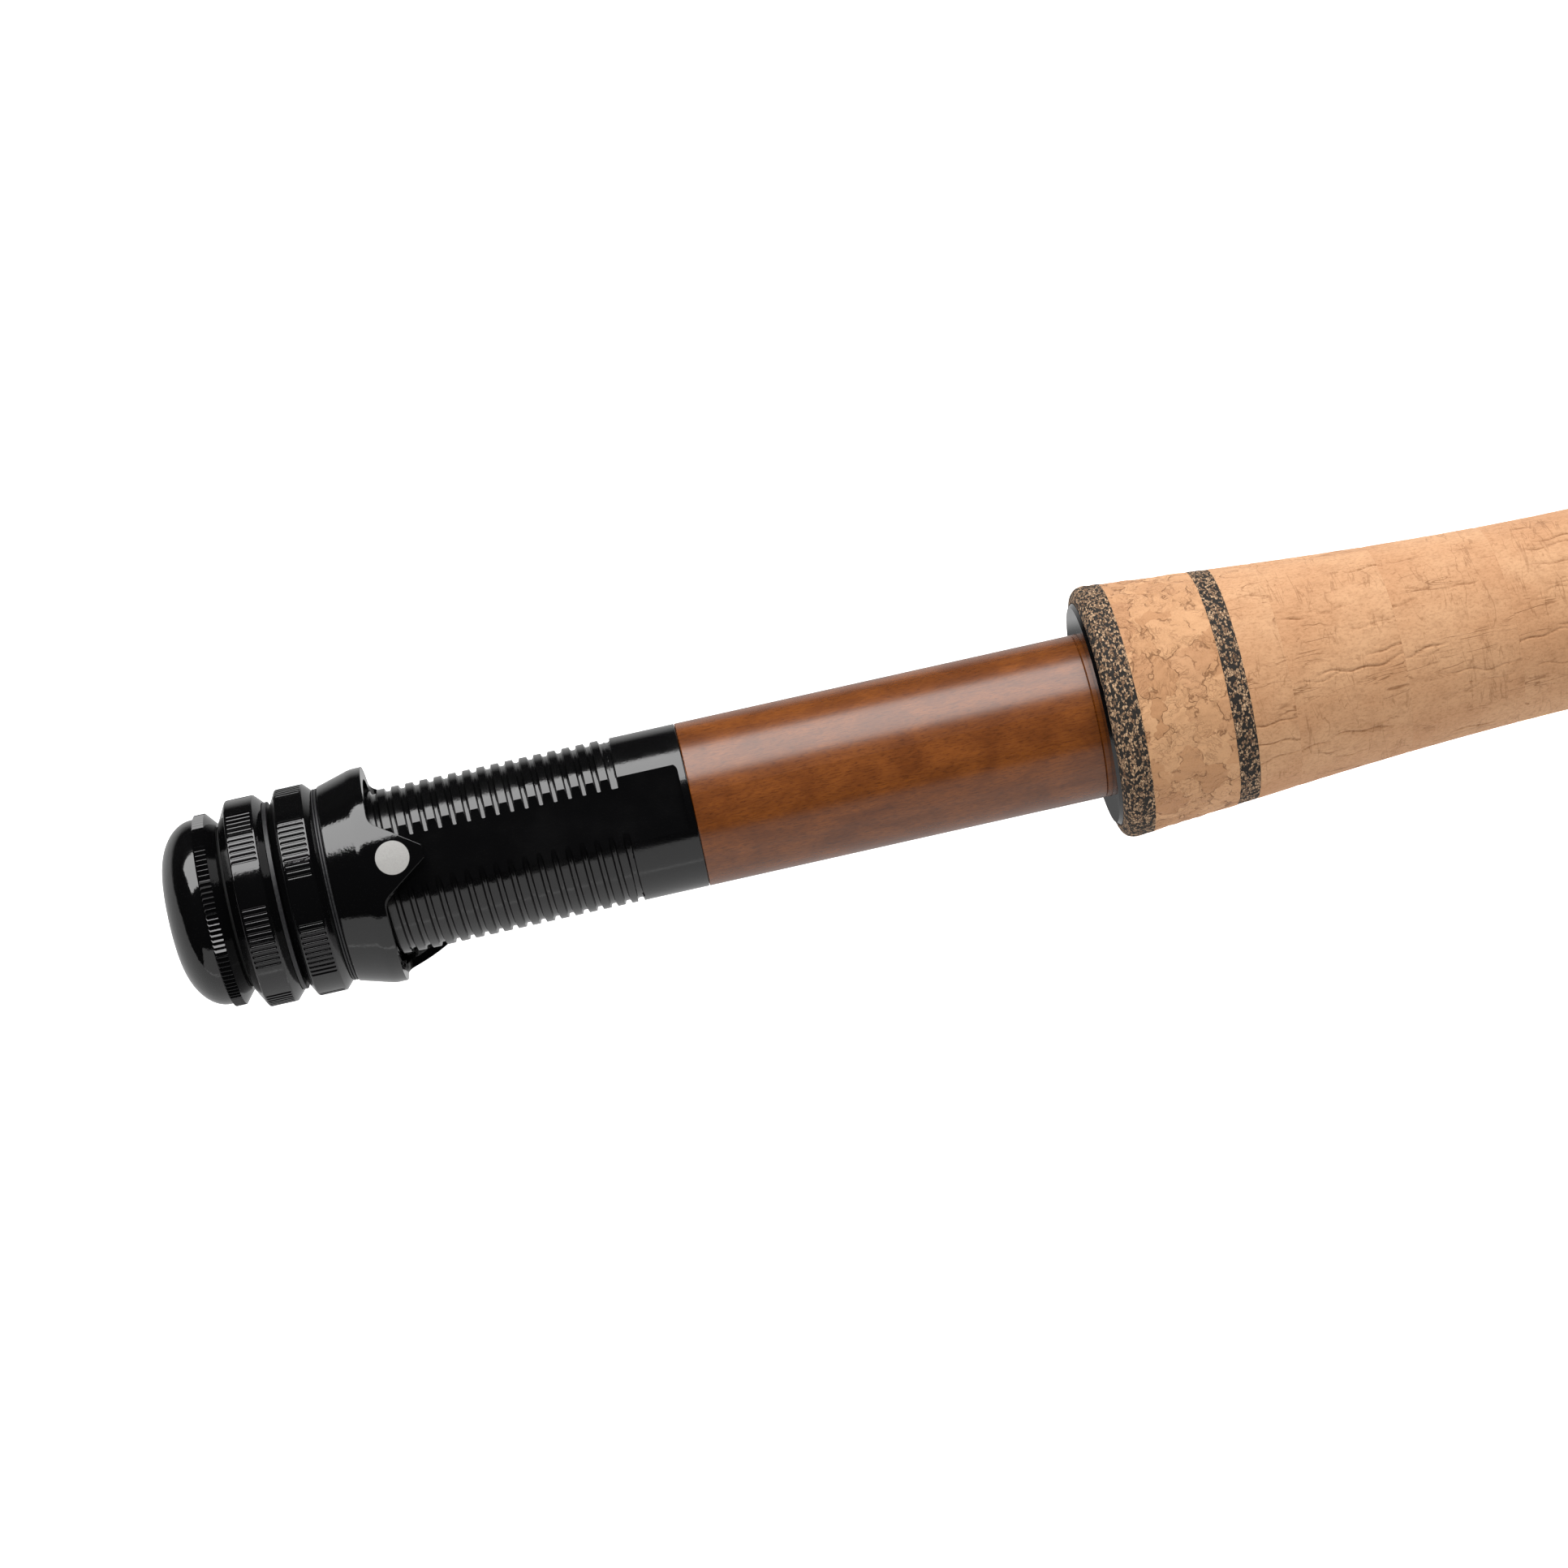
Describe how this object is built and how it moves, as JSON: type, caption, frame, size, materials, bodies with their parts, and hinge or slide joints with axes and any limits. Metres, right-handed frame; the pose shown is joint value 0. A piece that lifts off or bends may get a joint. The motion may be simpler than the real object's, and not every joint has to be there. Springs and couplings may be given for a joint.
{
  "type": "fly rod butt section",
  "caption": "Butt section of a fly rod: screw-locking reel seat with wood insert, flared cork grip, tapered blank, stripping guide and spigot ferrule.",
  "frame": {"origin": "centre of the flat end face of the butt cap, on the rod's axis", "axes": "+X along the rod's axis towards the tip, +Z out of the reel seat's key flat, -Z towards the reel foot and the line guide"},
  "size_m": [0.698, 0.0282, 0.0363],
  "materials": {
    "black_anodised": "gloss black anodised",
    "bare_aluminium": "turned",
    "seal_rubber": "matt",
    "black_nylon": "satin",
    "stained_wood": "satin varnish over red-brown stain",
    "arbor_composite": "matt",
    "natural_cork": "sanded cork",
    "composite_cork": "sanded agglomerated cork",
    "rubber_cork": "black rubber with cork granules",
    "carbon_blank": "varnished dark carbon",
    "varnished_thread": "dark brown thread under clear varnish",
    "metallic_thread": "bronze thread under clear varnish",
    "dark_steel": "dark polished",
    "ceramic": "polished ceramic"
  },
  "bodies": {
    "rod": {"cap_spigot": "bare_aluminium", "threaded_barrel": "black_anodised", "wood_insert": "stained_wood", "fixed_hood": "black_anodised", "rear_arbor": "arbor_composite", "front_arbor": "arbor_composite", "winding_check": "black_anodised", "blank": "carbon_blank", "hook_keeper": "dark_steel", "guide_frame": "dark_steel", "guide_ring": "ceramic", "ferrule_wrap": "varnished_thread", "ferrule_trim_band": "metallic_thread", "ferrule_spigot": "carbon_blank", "rear_trim_ring": "rubber_cork", "composite_ring": "composite_cork", "front_trim_ring": "rubber_cork", "keeper_wrap_rear": "varnished_thread", "keeper_wrap_front": "varnished_thread", "guide_wrap_rear": "varnished_thread", "guide_wrap_front": "varnished_thread", "cork_ring_01": "natural_cork", "cork_ring_02": "natural_cork", "cork_ring_03": "natural_cork", "cork_ring_04": "natural_cork", "cork_ring_05": "natural_cork", "cork_ring_06": "natural_cork", "cork_ring_07": "natural_cork", "cork_ring_08": "natural_cork", "cork_ring_09": "natural_cork", "cork_ring_10": "natural_cork", "cork_ring_11": "natural_cork", "cork_ring_12": "natural_cork", "cork_ring_13": "natural_cork", "cork_ring_14": "natural_cork"},
    "cap_washer_body": {"cap_washer": "seal_rubber"},
    "butt_cap_body": {"butt_cap": "black_anodised"},
    "hood": {"sliding_hood": "black_anodised", "hood_washer": "black_nylon"},
    "front_ring": {"front_lock_ring": "black_anodised"},
    "rear_washer": {"rear_lock_washer": "black_nylon"},
    "rear_ring": {"rear_lock_ring": "black_anodised"}
  },
  "joints": [
    {"name": "hood_slide", "type": "slide", "parent": "rod", "child": "hood", "axis": [1, 0, 0], "range_m": [0, 0.02858]},
    {"name": "front_ring_spin", "type": "hinge", "parent": "hood", "child": "front_ring", "pos_m": [0.0153, 0, 0], "axis": [1, 0, 0], "range_deg": [0, 6480]},
    {"name": "rear_washer_slide", "type": "slide", "parent": "rod", "child": "rear_washer", "axis": [1, 0, 0], "range_m": [0, 0.02858]},
    {"name": "rear_ring_spin", "type": "hinge", "parent": "rear_washer", "child": "rear_ring", "pos_m": [0.0098, 0, 0], "axis": [1, 0, 0], "range_deg": [0, 6480]},
    {"name": "cap_washer_slide", "type": "slide", "parent": "rod", "child": "cap_washer_body", "axis": [-1, 0, 0], "range_m": [0, 0.00401]},
    {"name": "butt_cap_spin", "type": "hinge", "parent": "cap_washer_body", "child": "butt_cap_body", "pos_m": [0, 0, 0], "axis": [-1, 0, 0], "range_deg": [0, 1440]}
  ],
  "couplings": [
    {"joint": "hood_slide", "follows": "front_ring_spin", "m_per_rad": 0.00025266},
    {"joint": "rear_washer_slide", "follows": "front_ring_spin", "m_per_rad": 0.00025266},
    {"joint": "rear_ring_spin", "follows": "front_ring_spin", "ratio": 1},
    {"joint": "cap_washer_slide", "follows": "butt_cap_spin", "m_per_rad": 0.00015915}
  ]
}
